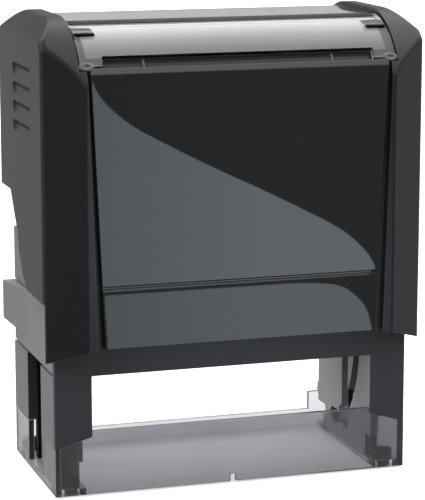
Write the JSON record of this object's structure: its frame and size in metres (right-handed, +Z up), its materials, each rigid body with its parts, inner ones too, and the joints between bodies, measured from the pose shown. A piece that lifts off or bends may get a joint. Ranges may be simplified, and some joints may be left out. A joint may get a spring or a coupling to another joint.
{
  "type": "self inking stamp",
  "caption": "Self inking stamp with a spring return cap, a die that turns over, a pull out ink cartridge and a clear skirt for placing the print.",
  "frame": {"origin": "middle of the footprint, on the surface that the stamp stands on", "axes": "+Z up along the stroke, +X along the long side, -Y towards the front panel"},
  "size_m": [0.0812, 0.0492, 0.097],
  "materials": {
    "satin_black": "satin moulded, slightly bluish black",
    "gloss_black": "polished black",
    "frame_black": "fine matt moulded black",
    "clear_smoke": "clear moulded plastic with a grey tint",
    "clear_window": "clear moulded plastic",
    "pale_grey": "satin moulded light grey",
    "cartridge_grey": "satin moulded mid grey",
    "spring_steel": "drawn wire and ground pins",
    "white_card": "blank white card",
    "foam_white": "fine closed foam",
    "plate_rubber": "laser cut stamp rubber",
    "foot_rubber": "soft matt rubber",
    "pad_felt": "felt soaked with dark ink"
  },
  "bodies": {
    "frame": {"clear_base": "clear_smoke", "base_feet": "foot_rubber", "inner_frame": "frame_black", "end_frame_right": "pale_grey", "end_frame_left": "pale_grey", "guide_channel_right": "frame_black", "guide_channel_left": "frame_black", "spring_right": "spring_steel", "spring_left": "spring_steel"},
    "cap": {"cap_shell": "satin_black", "front_panel": "gloss_black", "rear_panel": "gloss_black", "index_window": "clear_window", "index_card": "white_card", "drive_arm_right": "frame_black", "drive_arm_left": "frame_black"},
    "die": {"die_carrier": "frame_black", "foam_cushion": "foam_white", "text_plate": "plate_rubber", "die_axle": "spring_steel", "cam_pin_right": "spring_steel", "cam_pin_left": "spring_steel"},
    "cartridge": {"cartridge_tray": "cartridge_grey", "ink_pad": "pad_felt"}
  },
  "joints": [
    {"name": "cap_press", "type": "slide", "parent": "frame", "child": "cap", "axis": [0, 0, -1], "range_m": [0, 0.02], "stiffness_N_per_m": 220, "springref_m": -0.025, "deforming": ["spring_right", "spring_left"]},
    {"name": "die_flip", "type": "hinge", "parent": "cap", "child": "die", "pos_m": [0, 0, 0.0255], "axis": [1, 0, 0], "range_deg": [0, 180]},
    {"name": "cartridge_pull", "type": "slide", "parent": "frame", "child": "cartridge", "axis": [0, 1, 0], "range_m": [0, 0.036]}
  ],
  "couplings": [
    {"joint": "die_flip", "follows": "cap_press", "rad_per_m": 157.08}
  ]
}
